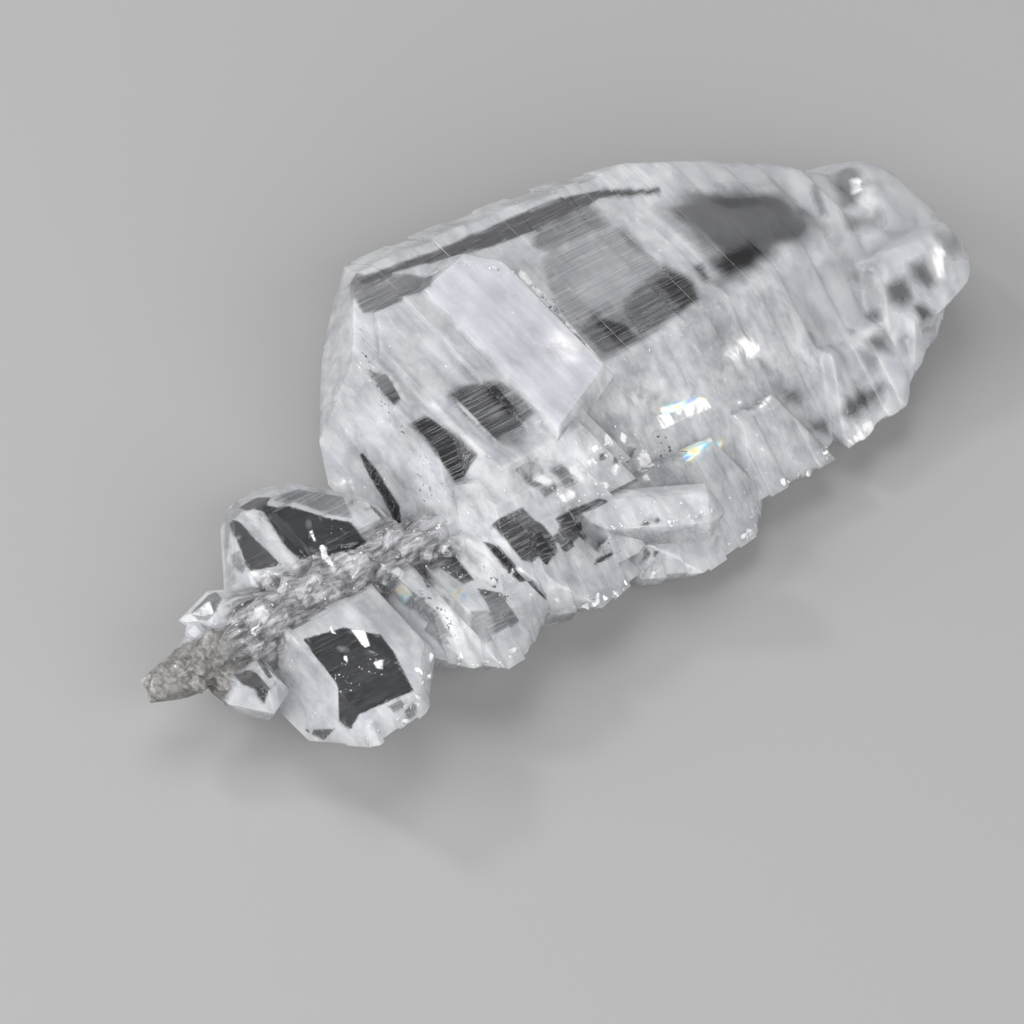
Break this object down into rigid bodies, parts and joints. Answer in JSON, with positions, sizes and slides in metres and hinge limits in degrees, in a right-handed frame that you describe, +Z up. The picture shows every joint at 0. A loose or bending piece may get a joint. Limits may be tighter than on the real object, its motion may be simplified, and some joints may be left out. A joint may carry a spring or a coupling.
{
  "type": "faden quartz crystal cluster",
  "caption": "Flat cluster of clear quartz plates grown side by side across a white thread, with a rough broken thread end, stepped faces and small teeth along its borders.",
  "frame": {"origin": "centre of the bounding box, on the flat prism face that the cluster rests on", "axes": "+X along the thread from its broken tip to the knobbed end, +Y along the c-axis of the crystals, +Z up from the resting face"},
  "size_m": [0.0516, 0.027, 0.0082],
  "materials": {
    "quartz": "clear with bright natural crystal faces, cloudy white along the thread"
  },
  "bodies": {
    "root": {"faden_quartz": "quartz"}
  },
  "joints": []
}
